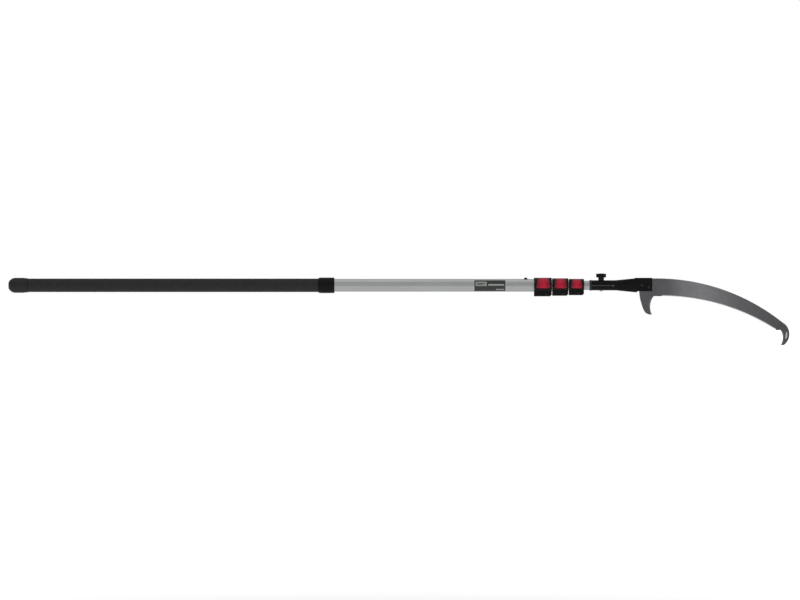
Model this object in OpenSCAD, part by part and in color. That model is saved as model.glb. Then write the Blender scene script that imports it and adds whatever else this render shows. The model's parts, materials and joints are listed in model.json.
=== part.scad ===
// Telescoping pole saw: four nested oval tubes, three lever clamps, a clamped-on
// saw head with a sickle at its heel and a hook at its tip.
// +X runs along the pole from the butt to the blade, +Z is up (away from the
// teeth), and the levers face -Y. The origin is the middle of the butt's end.

/* [Tubes] */
// Height of the outermost tube
tube_h = 40; // [34:0.5:50]
// Width of the outermost tube
tube_w = 31; // [26:0.5:40]
// Wall of every tube
tube_wall = 1.4; // [1:0.1:1.8]
// Gap between nested tubes, on each side
nest_gap = 0.42; // [0.35:0.01:0.6]
// Butt to the rear face of the first clamp
base_reach = 1645; // [1300:5:1900]
// Butt to the snap pin in the tail of the second tube, when closed
first_pin = 329; // [200:1:420]
// Length of the thinnest tube that shows between the last clamp and the head
bare_len = 17.5; // [8:0.5:60]

/* [Grip] */
// Start of the grip sleeve
grip_start = 60; // [55:1:120]
// Length of the grip sleeve
grip_len = 910; // [500:5:1000]
// Wall of the grip sleeve
grip_wall = 1.25; // [1:0.05:3]
// Length of the collar that ends the grip
grip_collar_len = 50; // [20:1:80]
// Wall of that collar
grip_collar_wall = 4.5; // [2.5:0.1:6]
// Length of the butt cap's thick part
cap_len = 50; // [40:1:55]
// Wall of the butt cap
cap_wall = 3.5; // [2.5:0.1:5]

/* [Clamps] */
// Length of the first clamp
clamp_len_1 = 55; // [50:1:70]
// Length of the second clamp
clamp_len_2 = 50; // [46:1:65]
// Length of the third clamp
clamp_len_3 = 47; // [45:1:60]
// Gap between neighbouring clamps
clamp_gap = 2; // [1:0.5:10]
// Wall of a clamp at its top
clamp_wall = 3.8; // [3.6:0.1:5]
// Wall of a clamp under its lever
clamp_core = 2.4; // [2:0.1:2.8]
// Depth of the split block under a clamp
ear_drop = 10.8; // [9:0.1:16]
// Width of that block
ear_w = 20; // [16:0.5:24]
// Height of the lever's hinge below the pole's axis
hinge_drop = 6.7; // [5:0.1:8]
// Radius of a lever's knuckle
knuckle_r = 3; // [2.6:0.1:3.2]
// Radius of a lever's hinge pin
hinge_pin_r = 1.5; // [1.2:0.1:1.7]
// How much narrower a lever is at its top
lever_taper = 11; // [2:0.5:14]

/* [Head] */
// Length of the head's oval socket
socket_len = 86.5; // [70:0.5:110]
// Wall of the socket
socket_wall = 1.4; // [1.2:0.1:2]
// Length of the flare from oval to flat
flare_len = 56; // [40:1:80]
// Height of the flat end behind the notch
flat_h = 43.6; // [36:0.2:50]
// Wall of the flat end on each side of the blade
flat_wall = 2.1; // [1.6:0.1:3]
// Width across the star knob's lobes
knob_d = 31; // [28:0.2:38]

/* [Blade] */
// Thickness of the blade
blade_t = 2.2; // [1.6:0.1:3]
// Height of the blade at its heel
blade_h = 55.6; // [52:0.2:62]
// Radius of the blade's back
spine_r = 632; // [600:1:700]
// Radius of the toothed edge
tooth_r = 663; // [640:1:720]
// Length of the toothed edge along X
tooth_run = 360; // [300:5:362]
// Distance from tooth to tooth
tooth_pitch = 4.7; // [3:0.1:7]
// Depth of a tooth
tooth_depth = 3.2; // [2:0.1:4]

/* [Hidden] */
$fn = 96;

// Clearances
bulge = 0.01;        // see oval()
end_share = 0.42;    // radius of an oval's round ends, as a share of its width
run_fit = 0.06;      // a shaft that turns or slides in its hole
slide_gap = 0.3;     // moving faces that pass each other
seat_gap = 0.05;     // the head's socket round the thinnest tube
past = 1;            // how far a cut runs past the faces it opens

// Tubes are numbered 1 (outermost) to 4: each steps in by its wall and the gap.
step = 2 * (tube_wall + nest_gap);
function th(i) = tube_h - (i - 1) * step;
function tw(i) = tube_w - (i - 1) * step;

// Clamps are numbered by the tube whose end they sit on.
// The butt cap is solid up to the end of the base tube.
butt_depth = tube_h / 2;
plug_len = 24;

clamp_lens = [clamp_len_1, clamp_len_2, clamp_len_3];
brake_len = 22;      // the part of a clamp past its own tube, round the next one
function clamp_l(i) = clamp_lens[i - 1];
function clamp_x(i) = i == 1 ? base_reach : clamp_x(i - 1) + clamp_l(i - 1) + clamp_gap;
function clamp_r(i) = th(i) / 2 + clamp_wall;
function seat_end(i) = clamp_x(i) + clamp_l(i) - brake_len;

// Snap holes sit just behind each clamp, and the next tube's pin meets its hole
// at full travel.
hole_setback = 26;
first_tail = 90;
tail_flange = 6;
plug_past_pin = 5;
tail_clear = 3;      // between one tail's plug and the next tail's flange
travel = base_reach - hole_setback - first_pin;
function hole_x(i) = clamp_x(i) - hole_setback;
function pin_x(i) = hole_x(i - 1) - travel;
function pin_pitch(i) = clamp_x(i - 1) - clamp_x(i - 2);
function tail(i) = i == 2 ? first_tail : pin_pitch(i) - plug_past_pin - tail_clear - tail_flange;
function tail_x(i) = pin_x(i) - tail(i);

// Snap pins
snap_r = 2.8;
snap_flange_r = 3.9;
snap_flange_t = 2;
snap_rise = tube_wall + 0.2;
spring_seat = -6;    // height of the floor under each snap spring
snap_gap = 0.12;     // between the pin's top and the outer tube's bore
plug_bore_r = snap_flange_r + run_fit;

// Push button on the outermost tube
button_r = 2.9;
button_flange_r = 4;
button_travel = tube_wall + 0.1;
button_lift = 0.3;   // solid height of its spring
button_flange_z = tube_h / 2 + button_lift + button_travel;
button_flange_t = 0.35;
bezel_r = 5.4;
bezel_lid = 0.6;
button_proud = 1.6;

// Clamp levers
cheek_rear = 6.5;
cheek_front = 4.5;
lever_gap = 0.4;
lever_top_y = 7.5;   // the lever stops this far in front of the pole's top line
cam_off = 1.2;       // the cam's centre from the hinge
cam_angle = 30;
cam_touch = 0.05;
shoe_half = 5;
hinge_z = -hinge_drop;
lever_swing_relief = 4.7;
swing_reach = 1;      // how far inside the hinge that relief goes
function lever_r(i) = clamp_r(i) - slide_gap;
function hinge_y(i) = -(sqrt(pow(lever_r(i), 2) - pow(hinge_z, 2)) - knuckle_r);
function lever_x0(i) = clamp_x(i) + cheek_rear + lever_gap;
function lever_x1(i) = clamp_x(i) + clamp_l(i) - cheek_front - lever_gap;
function shoe_face(i) = hinge_y(i) + cam_off * cos(cam_angle) + knuckle_r + cam_touch;
function shoe_x0(i) = seat_end(i) + 3;
function shoe_x1(i) = clamp_x(i) + clamp_l(i) - cheek_front - 3;

// Clamp screws, across the ears, and rivets, through the rear cheek
split = 2;
screw_r = 2;
screw_head_r = 3.7;
screw_head = 3;
ear_chamfer = 5;
rivet_r = 1.5;
rivet_head_r = 2.6;
rivet_head = 0.8;
rivet_z = 10;
function screw_x(i) = clamp_x(i) + clamp_l(i) - 17;
function screw_z(i) = -(clamp_r(i) + ear_drop / 2 - 0.2);

// Label
label_len = 97;
label_setback = 90;  // from the label's end to the first clamp
label_x = base_reach - label_setback - label_len;
label_t = 0.3;
label_top = 15.5;
label_low = -18;

// Head, from rear to front
socket_x = clamp_x(3) + clamp_l(3) + bare_len;
socket_h = th(4) + 2 * (seat_gap + socket_wall);
socket_w = tw(4) + 2 * (seat_gap + socket_wall);
flare_x = socket_x + socket_len;
tube_4_end = flare_x - 6.5;
flat_x = flare_x + flare_len;
flat_t = blade_t + 2 * flat_wall;
lip_len = 7;         // flat end behind the notch
notch_len = 6;
block_x = flat_x + lip_len + notch_len;
block_len = 41;
block_top = 23.5;
block_low = -18.5;
rim_len = 6.5;
rim_t = 0.6;
seam = 0.4;          // step where the flare starts
slit_z = -1;
slit_t = 1.4;
relief_x = flare_x - 12.5;
relief_r = 3;

// Knob
knob_x = socket_x + 36.5;
knob_bolt_r = 3;
neck_r = 9;
neck_z = socket_h / 2 + 2.1;
knob_z = neck_z + 6.3;
knob_t = 12;
knob_crown = 0.8;
lobe_r = 3.8;
lobes = 6;
bolt_tip = socket_h / 2 + 3.2;

// Blade
heel_x = block_x + block_len;
blade_top = block_top - 1.9;
blade_low = blade_top - blade_h;
spine_x = heel_x + 14;
tooth_x = heel_x + 28;
blade_end = tooth_x + tooth_run;
spine_z = blade_top - spine_r;
tooth_z = blade_low - tooth_r;
back_end_z = spine_z + sqrt(pow(spine_r, 2) - pow(blade_end - spine_x, 2));
teeth_end_z = tooth_z + sqrt(pow(tooth_r, 2) - pow(tooth_run, 2));
tang_len = 40;
tang_h = 22;
bolt_r = 2.5;
bolt_head_r = 4.6;
bolt_head = 2.2;
bolt_spots = [[block_x + 9, 0.3], [block_x + 30, -6]];

// ---- Shapes that repeat ----

// Oval of four arcs; x becomes the width (Y) and y the height (Z). The end arcs are
// a hair wider than tangent, so that they cross the side arcs at true corners.
module oval(h, w) {
    end_r = end_share * w;
    end_z = h / 2 - end_r;
    slack = w / 2 - end_r;
    side_off = (end_z * end_z - slack * slack) / (2 * slack);
    side_r = side_off + w / 2;
    join_z = end_z * side_r / (side_r - end_r);
    union() {
        intersection() {
            translate([-side_off, 0]) circle(r = side_r);
            translate([side_off, 0]) circle(r = side_r);
            square([2 * w, 2 * join_z], center = true);
        }
        for (s = [-1, 1]) translate([0, s * (end_z - bulge)]) circle(r = end_r + bulge);
    }
}

// Carries a (Y, Z) outline along the pole.
module along(x, len) {
    translate([x, 0, 0]) rotate([90, 0, 90]) linear_extrude(len) children();
}

// Carries an (X, Z) outline across the pole, from y0 to y1.
module across(y0, y1) {
    translate([0, y1, 0]) rotate([90, 0, 0]) linear_extrude(y1 - y0) children();
}

module rod_x(x0, x1, y, z, r) {
    translate([x0, y, z]) rotate([0, 90, 0]) cylinder(r = r, h = x1 - x0);
}

module rod_y(x, y0, y1, z, r, sides = 96) {
    translate([x, y1, z]) rotate([90, 0, 0]) cylinder(r = r, h = y1 - y0, $fn = sides);
}

module rod_z(x, z0, z1, r, sides = 96) {
    translate([x, 0, z0]) cylinder(r = r, h = z1 - z0, $fn = sides);
}

module tube(i, x0, x1) {
    along(x0, x1 - x0) difference() {
        oval(th(i), tw(i));
        oval(th(i) - 2 * tube_wall, tw(i) - 2 * tube_wall);
    }
}

// ---- Base section ----

module base_tube() {
    color("silver") difference() {
        tube(1, butt_depth, seat_end(1));
        rod_z(hole_x(1), 0, tube_h, button_r + slide_gap);
        rivet_holes(1);
    }
}

module end_plug() {
    color("dimgray") along(butt_depth, plug_len) oval(tube_h - 2 * tube_wall, tube_w - 2 * tube_wall);
}

// Rubber cap with a domed end that is cut flat at the butt.
module end_cap() {
    half_h = tube_h / 2 + cap_wall;
    half_w = tube_w / 2 + cap_wall;
    dome = 2;        // how much of the dome the flat takes away
    lip_step = 0.8;
    color("black") difference() {
        intersection() {
            union() {
                along(0, cap_len) oval(2 * half_h, 2 * half_w);
                along(cap_len, grip_start - cap_len) oval(2 * (half_h - lip_step), 2 * (half_w - lip_step));
            }
            across(-half_w - past, half_w + past) dome_outline(half_h, dome);
            rotate([90, 0, 0]) across(-half_h - past, half_h + past) dome_outline(half_w, dome);
        }
        along(butt_depth, grip_start) oval(tube_h, tube_w);
    }
}

module dome_outline(half, dome) {
    intersection() {
        union() {
            translate([half - dome, 0]) circle(r = half);
            translate([half - dome, -half]) square([grip_start, 2 * half]);
        }
        translate([0, -half - past]) square([grip_start + past, 2 * (half + past)]);
    }
}

module grip_sleeve() {
    color("black") along(grip_start, grip_len) difference() {
        oval(tube_h + 2 * grip_wall, tube_w + 2 * grip_wall);
        oval(tube_h, tube_w);
    }
}

module grip_collar() {
    ramp = 2;
    wide = 2 * grip_collar_wall;
    color("black") difference() {
        union() {
            along(grip_start + grip_len, ramp) oval(tube_h + wide - 3, tube_w + wide - 3);
            along(grip_start + grip_len + ramp, grip_collar_len - ramp) oval(tube_h + wide, tube_w + wide);
        }
        along(grip_start + grip_len - past, grip_collar_len + 2 * past) oval(tube_h, tube_w);
    }
}

module label_plate() {
    color("dimgray") along(label_x, label_len) intersection() {
        difference() {
            oval(tube_h + 2 * label_t, tube_w + 2 * label_t);
            oval(tube_h, tube_w);
        }
        translate([-tube_w, label_low]) square([tube_w, label_top - label_low]);
    }
}

module button_bezel() {
    lid_z = button_flange_z + button_flange_t;
    color("black") difference() {
        rod_z(hole_x(1), tube_h / 2 - 3, lid_z + bezel_lid, bezel_r);
        rod_z(hole_x(1), 0, lid_z, button_flange_r + slide_gap);
        rod_z(hole_x(1), 0, tube_h, button_r + run_fit);
        along(hole_x(1) - 2 * bezel_r, 4 * bezel_r) oval(tube_h, tube_w);
    }
}

module push_button() {
    top = button_flange_z + button_flange_t + bezel_lid + button_proud;
    color("black") {
        rod_z(hole_x(1), tube_h / 2, top, button_r);
        rod_z(hole_x(1), button_flange_z, button_flange_z + button_flange_t, button_flange_r);
    }
}

module button_spring() {
    color("silver") difference() {
        rod_z(hole_x(1), tube_h / 2 + 0.05, button_flange_z, button_flange_r - 0.1);
        rod_z(hole_x(1), 0, tube_h, button_r + slide_gap);
    }
}

// ---- Clamps ----

// Outline of a clamp's lever in (X, Z), grown by a gap: wide and straight at the
// foot, drawn in towards the top.
module lever_outline(i, gap) {
    x0 = lever_x0(i) - gap;
    x1 = lever_x1(i) + gap;
    low = hinge_z - knuckle_r - gap;
    high = clamp_r(i) + past;
    steps = 10;
    function inset(u) = lever_taper / 2 * pow(u, 2.2);
    polygon(concat(
        [for (k = [0:steps]) [x1 - inset(k / steps), low + (high - low) * k / steps]],
        [for (k = [steps:-1:0]) [x0 + inset(k / steps), low + (high - low) * k / steps]]
    ));
}

module rivet_holes(i) {
    rod_y(clamp_x(i) + cheek_rear / 2, -2 * tube_w, 2 * tube_w, rivet_z, rivet_r);
}

// Section of a clamp: an oval behind, and a round front that the lever sits in.
module clamp_section(i) {
    r = clamp_r(i);
    union() {
        oval(th(i) + 2 * clamp_wall, tw(i) + 2 * clamp_wall);
        intersection() {
            circle(r = r);
            translate([-2 * r, -2 * r]) square([2 * r, 4 * r]);
        }
    }
}

module ear_outline(i) {
    x0 = clamp_x(i);
    x1 = x0 + clamp_l(i);
    low = -(clamp_r(i) + ear_drop);
    polygon([
        [x0, -th(i) / 4], [x0, low], [x1 - ear_chamfer, low],
        [x1, low + ear_chamfer], [x1, -th(i) / 4]
    ]);
}

module clamp_collar(i) {
    x0 = clamp_x(i);
    l = clamp_l(i);
    core_h = th(i) + 2 * clamp_core;
    core_w = tw(i) + 2 * clamp_core;
    y = hinge_y(i);
    boss_r = knuckle_r + 1.4;
    color("black") difference() {
        union() {
            along(x0, l) clamp_section(i);
            rod_x(x0, x0 + cheek_rear - 1, y, hinge_z, boss_r);
            rod_x(x0 + l - cheek_front + 1, x0 + l, y, hinge_z, boss_r);
            across(-ear_w / 2, ear_w / 2) ear_outline(i);
        }
        // seat of the outer tube, then the way through for the next one
        along(x0 - past, seat_end(i) - x0 + past) oval(th(i), tw(i));
        along(x0, l + past) oval(th(i + 1) + 2 * slide_gap, tw(i + 1) + 2 * slide_gap);
        // recess for the lever, down to the core
        difference() {
            across(-2 * clamp_r(i), -lever_top_y + lever_gap) lever_outline(i, lever_gap);
            along(x0 - past, l + 2 * past) oval(core_h, core_w);
        }
        // room for the knuckle, its swing, the cam and the brake shoe
        rod_x(lever_x0(i) - lever_gap, lever_x1(i) + lever_gap, y, hinge_z, knuckle_r + slide_gap);
        intersection() {
            rod_x(lever_x0(i) - lever_gap, lever_x1(i) + lever_gap, y, hinge_z, lever_swing_relief);
            translate([x0, y - 2 * clamp_r(i), hinge_z - clamp_r(i)])
                cube([l, 2 * clamp_r(i) + swing_reach, 2 * clamp_r(i)]);
        }
        rod_x(shoe_x0(i) - slide_gap, shoe_x1(i) + slide_gap, y, hinge_z, knuckle_r + cam_off + slide_gap);
        translate([shoe_x0(i) - slide_gap, y, hinge_z - shoe_half - slide_gap])
            cube([shoe_x1(i) - shoe_x0(i) + 2 * slide_gap, -y - tw(i + 1) / 4, 2 * (shoe_half + slide_gap)]);
        rod_x(x0 + 1.2, x0 + l - 1.2, y, hinge_z, hinge_pin_r);
        // split between the ears, with the clamp screw across it
        translate([x0 - past, -split / 2, -2 * clamp_r(i)])
            cube([l + 2 * past, split, 2 * clamp_r(i) - th(i + 1) / 4]);
        rod_y(screw_x(i), -ear_w, ear_w, screw_z(i), screw_r);
        rivet_holes(i);
    }
}

module clamp_lever(i) {
    l = clamp_l(i);
    core_h = th(i) + 2 * clamp_core;
    core_w = tw(i) + 2 * clamp_core;
    y = hinge_y(i);
    color("firebrick") difference() {
        union() {
            intersection() {
                across(-2 * clamp_r(i), -lever_top_y) lever_outline(i, 0);
                along(clamp_x(i), l) difference() {
                    circle(r = lever_r(i));
                    oval(core_h + 2 * slide_gap, core_w + 2 * slide_gap);
                    translate([-2 * clamp_r(i), hinge_z - 2 * clamp_r(i)])
                        square([4 * clamp_r(i), 2 * clamp_r(i)]);
                }
            }
            rod_x(lever_x0(i), lever_x1(i), y, hinge_z, knuckle_r);
            rod_x(shoe_x0(i), shoe_x1(i), y + cam_off * cos(cam_angle),
                  hinge_z + cam_off * sin(cam_angle), knuckle_r);
        }
        rod_x(clamp_x(i), clamp_x(i) + l, y, hinge_z, hinge_pin_r + run_fit);
        // clear of the brake shoe on a pole so tall that the shoe reaches under the lever
        translate([shoe_x0(i) - slide_gap, shoe_face(i) - cam_touch / 2, hinge_z - shoe_half - slide_gap])
            cube([shoe_x1(i) - shoe_x0(i) + 2 * slide_gap, clamp_r(i), 2 * (shoe_half + slide_gap)]);
    }
}

module clamp_pin(i) {
    color("lightgray")
        rod_x(clamp_x(i) + 1.2, clamp_x(i) + clamp_l(i) - 1.2, hinge_y(i), hinge_z, hinge_pin_r);
}

// Brake shoe between the cam and the next tube's side.
module clamp_shoe(i) {
    face = shoe_face(i);
    color("goldenrod") difference() {
        translate([shoe_x0(i), face, hinge_z - shoe_half])
            cube([shoe_x1(i) - shoe_x0(i), -face - tw(i + 1) / 4, 2 * shoe_half]);
        along(clamp_x(i), clamp_l(i)) oval(th(i + 1) + 2 * cam_touch, tw(i + 1) + 2 * cam_touch);
    }
}

module clamp_screw(i) {
    color("lightgray") difference() {
        union() {
            rod_y(screw_x(i), -ear_w / 2, ear_w / 2 + screw_head, screw_z(i), screw_r);
            rod_y(screw_x(i), -ear_w / 2 - screw_head, -ear_w / 2, screw_z(i), screw_head_r);
        }
        rod_y(screw_x(i), -ear_w / 2 - screw_head - past, -ear_w / 2 - 1, screw_z(i), screw_r * 0.8, 6);
    }
}

module clamp_nut(i) {
    color("lightgray") difference() {
        rod_y(screw_x(i), ear_w / 2, ear_w / 2 + 2.6, screw_z(i), screw_head_r + 0.2, 6);
        rod_y(screw_x(i), 0, ear_w, screw_z(i), screw_r);
    }
}

// One rivet in front and one behind, through the clamp and its tube's wall.
module clamp_rivets(i) {
    x = clamp_x(i) + cheek_rear / 2;
    inner = th(i) / 2 * 0.5;
    front = sqrt(pow(clamp_r(i), 2) - pow(rivet_z, 2));
    back = tw(i) / 2 + clamp_wall - 2;
    color("lightgray") difference() {
        union() {
            rod_y(x, -front - rivet_head, -inner, rivet_z, rivet_r);
            rod_y(x, -front - rivet_head, -front + 0.6, rivet_z, rivet_head_r);
            rod_y(x, inner, back + rivet_head + 0.4, rivet_z, rivet_r);
            rod_y(x, back - 0.6, back + rivet_head + 0.4, rivet_z, rivet_head_r);
        }
        along(x - 10, 20) oval(th(i) - 2 * tube_wall, tw(i) - 2 * tube_wall);
        difference() {
            along(x - 10, 20) clamp_section(i);
            rod_y(x, -front - rivet_head, back + rivet_head + past, rivet_z, rivet_r);
        }
    }
}

// ---- Inner sections ----

module inner_tube(i, x1) {
    color("silver") difference() {
        tube(i, tail_x(i), x1);
        rod_z(pin_x(i), 0, tube_h, snap_r + run_fit);
        if (i < 4) rod_z(hole_x(i), 0, tube_h, button_r + slide_gap);
        if (i < 4) rivet_holes(i);
        if (i == 4) rod_z(knob_x, -tube_h, tube_h, knob_bolt_r + slide_gap);
    }
}

// Tail plug: a bearing flange behind the tube, and a body inside it that guides
// the snap pin and its spring.
module tail_plug(i) {
    bearing_h = th(i - 1) - 2 * tube_wall - 2 * run_fit;
    bearing_w = tw(i - 1) - 2 * tube_wall - 2 * run_fit;
    color("dimgray") difference() {
        union() {
            along(tail_x(i) - tail_flange, tail_flange) oval(bearing_h, bearing_w);
            along(tail_x(i), pin_x(i) + plug_past_pin - tail_x(i))
                oval(th(i) - 2 * tube_wall, tw(i) - 2 * tube_wall);
        }
        rod_z(pin_x(i), spring_seat, tube_h, plug_bore_r);
    }
}

// Pin top just short of the outer tube's bore, where the closed pole holds it down.
module snap_pin(i) {
    crown_r = end_share * (tw(i - 1) - 2 * tube_wall);
    crown_drop = crown_r - sqrt(pow(crown_r, 2) - pow(snap_r, 2));
    top = th(i - 1) / 2 - tube_wall - crown_drop - snap_gap;
    flange_top = th(i) / 2 - tube_wall - snap_rise;
    color("lightgray") {
        rod_z(pin_x(i), flange_top - snap_flange_t, top, snap_r);
        rod_z(pin_x(i), flange_top - snap_flange_t, flange_top, snap_flange_r);
    }
}

module snap_spring(i) {
    top = th(i) / 2 - tube_wall - snap_rise - snap_flange_t;
    color("silver") difference() {
        rod_z(pin_x(i), spring_seat, top, snap_flange_r - 0.2);
        rod_z(pin_x(i), spring_seat - past, top + past, snap_flange_r - 1);
    }
}

// ---- Head ----

module head_socket() {
    bore_h = th(4) + 2 * seat_gap;
    bore_w = tw(4) + 2 * seat_gap;
    eps = 0.01;
    color("dimgray") difference() {
        union() {
            along(socket_x, socket_len) oval(socket_h, socket_w);
            hull() {
                along(flare_x, eps) oval(socket_h + 2 * seam, socket_w + 2 * seam);
                along(flat_x, eps) square([flat_t, flat_h], center = true);
            }
            along(flat_x, lip_len) square([flat_t, flat_h], center = true);
            translate([flat_x, -flat_t / 2, 0]) cube([block_x - flat_x + past, flat_t, block_top]);
            translate([flat_x, -flat_t / 2, block_low]) cube([block_x - flat_x + past, flat_t, 20]);
            translate([block_x, -flat_t / 2, block_low])
                cube([block_len, flat_t, block_top - block_low]);
        }
        along(socket_x - past, socket_len + past) oval(bore_h, bore_w);
        hull() {
            along(flare_x - past, eps) oval(bore_h - 2 * seam, bore_w - 2 * seam);
            along(flat_x, eps) square([blade_t, tang_h + 10], center = true);
        }
        // slot for the blade, open below
        translate([flat_x - past, -blade_t / 2, -tang_h / 2]) cube([block_len + 60, blade_t, tang_h]);
        translate([block_x, -blade_t / 2, blade_low]) cube([block_len + past, blade_t, blade_h]);
        // slit on both sides of the socket, ended by a round relief hole
        translate([socket_x - past, -socket_w, slit_z - slit_t / 2])
            cube([relief_x - socket_x + past, 2 * socket_w, slit_t]);
        rod_y(relief_x, -socket_w, socket_w, slit_z, relief_r);
        rod_z(knob_x, -socket_h, socket_h, knob_bolt_r + slide_gap);
        for (p = bolt_spots) rod_y(p[0], -flat_t, flat_t, p[1], bolt_r);
    }
}

module socket_rim() {
    color("lightsteelblue") along(socket_x, rim_len) difference() {
        oval(socket_h + 2 * rim_t, socket_w + 2 * rim_t);
        oval(socket_h, socket_w);
    }
}

module knob() {
    hub_top = knob_z + knob_t + knob_crown;
    color("black") difference() {
        union() {
            rod_z(knob_x, neck_z, knob_z, neck_r);
            translate([knob_x, 0, knob_z]) linear_extrude(knob_t) union() {
                circle(r = knob_d / 2 - lobe_r - 0.6);
                for (k = [0:lobes - 1]) rotate(k * 360 / lobes)
                    translate([knob_d / 2 - lobe_r, 0]) circle(r = lobe_r);
            }
            rod_z(knob_x, knob_z, hub_top, neck_r - 1);
        }
        rod_z(knob_x, neck_z - past, knob_z + 4, knob_bolt_r);
    }
}

module knob_bolt() {
    color("lightgray") rod_z(knob_x, -bolt_tip, knob_z + 4, knob_bolt_r);
}

module knob_nut() {
    color("lightgray") difference() {
        rod_z(knob_x, -bolt_tip + 0.8, -socket_h / 2 + 1, 4.6, 6);
        rod_z(knob_x, -tube_h, tube_h, knob_bolt_r + run_fit);
        along(socket_x, socket_len) oval(socket_h, socket_w);
    }
}

// Saddle that fits the socket's crown and gives the knob a flat seat.
module knob_washer() {
    color("black") difference() {
        rod_z(knob_x, socket_h / 2 - 3, neck_z - 0.1, neck_r);
        rod_z(knob_x, 0, tube_h, knob_bolt_r + slide_gap);
        along(socket_x, socket_len) oval(socket_h, socket_w);
    }
}

// ---- Blade ----

// The toothed edge: one gullet for each tooth, cut into the arc from below.
module gullets() {
    pitch = tooth_pitch / tooth_r * 180 / PI;
    last = asin(tooth_run / tooth_r);
    function spot(a, r) = [tooth_x + r * sin(a), tooth_z + r * cos(a)];
    for (a = [0.2:pitch:last - pitch]) polygon([
        spot(a, tooth_r - past), spot(a + 0.96 * pitch, tooth_r - past),
        spot(a + 0.34 * pitch, tooth_r + tooth_depth)
    ]);
}

// The curved body, from the heel to the blade's end.
module blade_body() {
    over_hook = 19;  // the body runs on over the hook to where their backs cross
    difference() {
        intersection() {
            translate([spine_x, spine_z]) circle(r = spine_r, $fn = 720);
            translate([spine_x, blade_low - 200]) square([blade_end - spine_x + over_hook, 300]);
        }
        translate([tooth_x, tooth_z]) circle(r = tooth_r, $fn = 720);
        translate([spine_x - past, blade_low - 300]) square([tooth_x - spine_x + past, 300]);
        translate([blade_end, blade_low - 300]) square([50, 194]);
    }
}

// The hook at the tip hangs from the blade's back: a disc with a disc bitten out of it.
module tip_hook() {
    outer_r = 41.8;
    outer = [blade_end, back_end_z - 52.1];
    bite_r = 44;
    bite = outer + [-23.3, -11];
    low = outer[1] - 34.3;
    shelf = teeth_end_z + 0.3;
    difference() {
        intersection() {
            translate(outer) circle(r = outer_r);
            translate([blade_end - 1, low]) square([outer_r + past, 76]);
        }
        intersection() {
            translate(bite) circle(r = bite_r);
            translate([blade_end - 20, low - past]) square([80, shelf - low + past]);
        }
    }
}

// The sickle that hangs from the heel, sharp along its hollow side.
module sickle() {
    hollow_r = 56;
    hollow = [block_x + 90.4, -68];
    back = [
        [0, block_low], [1.2, -30], [3, -42], [8, -60.5], [12.5, -73.5], [17, -82],
        [21.5, -87], [30, -91], [39.9, -92.3], [56, -60], [60, block_low]
    ];
    difference() {
        translate([block_x, 0]) polygon(back);
        translate(hollow) circle(r = hollow_r);
        translate([spine_x - past, -200]) square([60, 200 + blade_low]);
    }
}

module blade() {
    color("gray") across(-blade_t / 2, blade_t / 2) difference() {
        union() {
            blade_body();
            translate([block_x, block_low]) square([spine_x - block_x, blade_top - block_low]);
            translate([heel_x - 5, blade_low]) square([spine_x - heel_x + 5, blade_h]);
            translate([block_x - tang_len, -tang_h / 2]) square([tang_len + 5, tang_h]);
            sickle();
            tip_hook();
        }
        gullets();
        for (p = bolt_spots) translate(p) circle(r = bolt_r);
    }
}

module blade_bolts() {
    color("dimgray") for (p = bolt_spots) {
        rod_y(p[0], -flat_t / 2, flat_t / 2 + 4.2, p[1], bolt_r);
        rod_y(p[0], -flat_t / 2 - bolt_head, -flat_t / 2, p[1], bolt_head_r);
    }
}

module blade_nuts() {
    color("dimgray") for (p = bolt_spots) difference() {
        rod_y(p[0], flat_t / 2, flat_t / 2 + 3.6, p[1], bolt_head_r, 6);
        rod_y(p[0], 0, flat_t * 2, p[1], bolt_r);
    }
}

base_tube();
end_plug();
end_cap();
grip_sleeve();
grip_collar();
label_plate();
button_bezel();
push_button();
button_spring();
clamp_collar(1);  // clamp_1_collar
clamp_lever(1);  // clamp_1_lever
clamp_pin(1);  // clamp_1_pin
clamp_shoe(1);  // clamp_1_shoe
clamp_screw(1);  // clamp_1_screw
clamp_nut(1);  // clamp_1_nut
clamp_rivets(1);  // clamp_1_rivets
clamp_collar(2);  // clamp_2_collar
clamp_lever(2);  // clamp_2_lever
clamp_pin(2);  // clamp_2_pin
clamp_shoe(2);  // clamp_2_shoe
clamp_screw(2);  // clamp_2_screw
clamp_nut(2);  // clamp_2_nut
clamp_rivets(2);  // clamp_2_rivets
clamp_collar(3);  // clamp_3_collar
clamp_lever(3);  // clamp_3_lever
clamp_pin(3);  // clamp_3_pin
clamp_shoe(3);  // clamp_3_shoe
clamp_screw(3);  // clamp_3_screw
clamp_nut(3);  // clamp_3_nut
clamp_rivets(3);  // clamp_3_rivets
inner_tube(2, seat_end(2));  // tube_2
inner_tube(3, seat_end(3));  // tube_3
inner_tube(4, tube_4_end);  // tube_4
tail_plug(2);  // tail_plug_2
tail_plug(3);  // tail_plug_3
tail_plug(4);  // tail_plug_4
snap_pin(2);  // snap_pin_2
snap_pin(3);  // snap_pin_3
snap_pin(4);  // snap_pin_4
snap_spring(2);  // snap_spring_2
snap_spring(3);  // snap_spring_3
snap_spring(4);  // snap_spring_4
head_socket();
socket_rim();
knob();
knob_bolt();
knob_nut();
knob_washer();
blade();
blade_bolts();
blade_nuts();
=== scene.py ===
# A telescoping pole saw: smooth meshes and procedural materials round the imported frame.
# Everything is in metres. +X runs from the butt to the blade, +Z is up, -Y faces the camera.
import json
import math

import bmesh
import bpy
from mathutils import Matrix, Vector, geometry


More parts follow.
